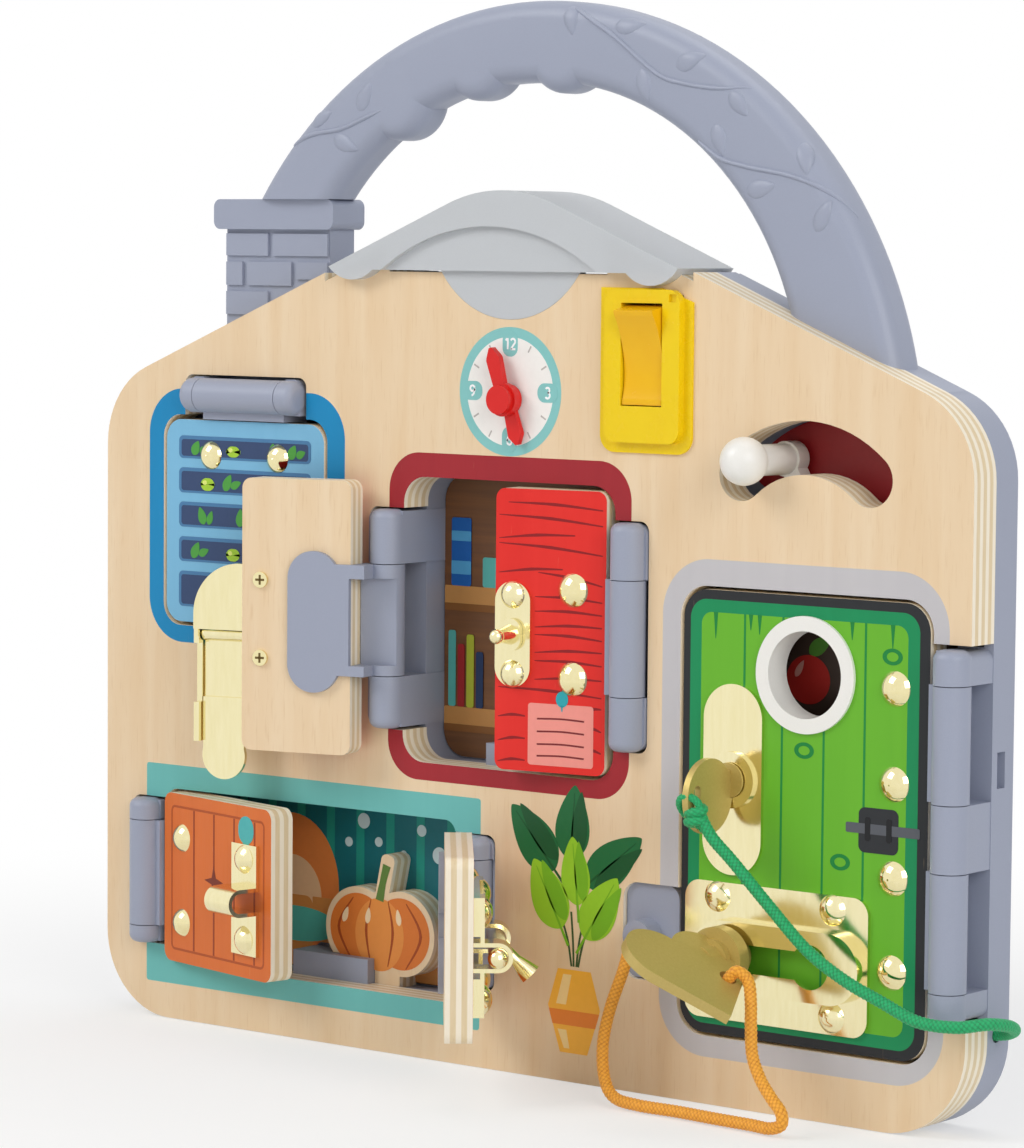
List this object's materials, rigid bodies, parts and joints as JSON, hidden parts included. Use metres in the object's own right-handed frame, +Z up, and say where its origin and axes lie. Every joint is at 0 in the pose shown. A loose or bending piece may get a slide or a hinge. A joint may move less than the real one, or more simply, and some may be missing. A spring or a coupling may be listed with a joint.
{
  "type": "wooden busy board",
  "caption": "House-shaped wooden busy board with hinged doors, shutter, latches, lock and key, clock, switch, lamp and carrying handle.",
  "frame": {"origin": "centre of the base, in the middle of the body's depth", "axes": "+X to the right of the board seen from the front, +Y to the back, +Z up"},
  "size_m": [0.3326, 0.0817, 0.3135],
  "materials": {
    "birch_ply": "fine sanded, clear matt lacquer",
    "grey_plastic": "fine satin",
    "steel": "plated",
    "frosted": "frosted translucent",
    "circuit": "circuit board",
    "yellow_plastic": "glossy",
    "amber_plastic": "glossy",
    "black_plastic": "matt",
    "cell_sleeve": "printed sleeve",
    "printed_card": "printed laminate",
    "red_plastic": "glossy",
    "white_plastic": "glossy",
    "blue_paint": "painted plywood",
    "red_paint": "painted plywood",
    "green_paint": "painted plywood",
    "orange_paint": "painted plywood",
    "brass": "polished plated",
    "gold_cast": "matt gold",
    "green_cord": "braided",
    "orange_cord": "braided"
  },
  "bodies": {
    "board": {"front_panel": "birch_ply", "housing": "grey_plastic", "back_cover": "grey_plastic", "cover_screws": "steel", "handle": "grey_plastic", "chimney": "grey_plastic", "lamp_cover": "frosted", "lamp_lens": "frosted", "led_board": "circuit", "switch_plate": "yellow_plastic", "switch_body": "yellow_plastic", "battery_box": "black_plastic", "battery_cells": "cell_sleeve", "battery_contacts": "steel", "battery_cover": "grey_plastic", "picture_cards": "printed_card", "heat_card": "printed_card", "figure": "birch_ply", "clock_pin": "steel", "hinge_pins": "steel", "green_cord": "green_cord", "orange_cord": "orange_cord"},
    "rocker_body": {"rocker": "amber_plastic"},
    "hour": {"hour_hand": "red_plastic"},
    "minute": {"minute_hand": "red_plastic"},
    "lever": {"heat_lever": "white_plastic"},
    "shutter": {"shutter_panel": "blue_paint", "shutter_leaf": "grey_plastic", "shutter_rivets": "brass"},
    "window_left": {"window_left_door": "birch_ply", "window_left_leaf": "grey_plastic", "window_left_screws": "brass", "hasp_body": "brass"},
    "hasp": {"hasp_lever": "brass"},
    "window_right": {"window_right_door": "red_paint", "window_right_leaf": "grey_plastic", "window_right_rivets": "brass", "turn_plate": "brass"},
    "button": {"turn_button": "brass"},
    "door": {"green_door": "green_paint", "green_leaf": "grey_plastic", "green_rivets": "brass", "porthole_ring": "white_plastic", "key_plate": "brass", "chain_plate": "brass", "green_cord_end": "green_cord", "orange_cord_end": "orange_cord"},
    "key": {"door_key": "brass"},
    "slider": {"heart_slider": "gold_cast"},
    "cupboard_left": {"cup_left_door": "orange_paint", "cup_left_leaf": "grey_plastic", "cup_left_rivets": "brass", "staple": "brass"},
    "cupboard_right": {"cup_right_door": "orange_paint", "cup_right_leaf": "grey_plastic", "cup_right_rivets": "brass", "bolt_guide": "brass"},
    "bolt_body": {"bolt": "brass"}
  },
  "joints": [
    {"name": "shutter", "type": "hinge", "parent": "board", "child": "shutter", "pos_m": [-0.102, -0.0127, 0.1958], "axis": [-1, 0, 0], "range_deg": [0, 4]},
    {"name": "window_left", "type": "hinge", "parent": "board", "child": "window_left", "pos_m": [-0.044, -0.0127, 0.131], "axis": [0, 0, -1], "range_deg": [-145, 0]},
    {"name": "hasp_lever", "type": "hinge", "parent": "window_left", "child": "hasp", "pos_m": [-0.09266, -0.02215, 0.124], "axis": [-0.9703, -0.2419, 0], "range_deg": [-2, 3]},
    {"name": "window_right", "type": "hinge", "parent": "board", "child": "window_right", "pos_m": [0.0455, -0.0127, 0.131], "axis": [0, 0, 1], "range_deg": [-9, 135]},
    {"name": "turn_button", "type": "hinge", "parent": "window_right", "child": "button", "pos_m": [0.00798, -0.01743, 0.1302], "axis": [-0.1564, 0.9877, 0], "range_deg": [-90, 90]},
    {"name": "green_door", "type": "hinge", "parent": "board", "child": "door", "pos_m": [0.1548, -0.0127, 0.084], "axis": [0, 0, 1], "range_deg": [0, 170], "deforming": ["green_cord", "orange_cord"]},
    {"name": "door_key", "type": "hinge", "parent": "door", "child": "key", "pos_m": [0.0825, -0.0135, 0.0935], "axis": [0, 1, 0], "range_deg": [-90, 90], "deforming": ["green_cord_end"]},
    {"name": "heart_slider", "type": "slide", "parent": "door", "child": "slider", "axis": [1, 0, 0], "range_m": [-0.004, 0.028], "deforming": ["orange_cord_end"]},
    {"name": "cupboard_left", "type": "hinge", "parent": "board", "child": "cupboard_left", "pos_m": [-0.1421, -0.0127, 0.045], "axis": [0, 0, -1], "range_deg": [-12.5, 150]},
    {"name": "cupboard_right", "type": "hinge", "parent": "board", "child": "cupboard_right", "pos_m": [-0.0097, -0.0127, 0.045], "axis": [0, 0, 1], "range_deg": [-129, 16]},
    {"name": "bolt", "type": "slide", "parent": "cupboard_right", "child": "bolt_body", "axis": [0.6361, -0.7716, 0], "range_m": [0, 0.014]},
    {"name": "hour_hand", "type": "hinge", "parent": "board", "child": "hour", "pos_m": [0.0015, -0.013, 0.1979], "axis": [0, 1, 0], "continuous": true},
    {"name": "minute_hand", "type": "hinge", "parent": "board", "child": "minute", "pos_m": [0.0015, -0.0151, 0.1979], "axis": [0, 1, 0], "continuous": true},
    {"name": "rocker", "type": "hinge", "parent": "board", "child": "rocker_body", "pos_m": [0.0507, -0.0115, 0.212], "axis": [-1, 0, 0], "range_deg": [0, 20]},
    {"name": "heat_lever", "type": "hinge", "parent": "board", "child": "lever", "pos_m": [0.105, 0.0005, 0.1552], "axis": [0, 1, 0], "range_deg": [-12, 70]}
  ]
}
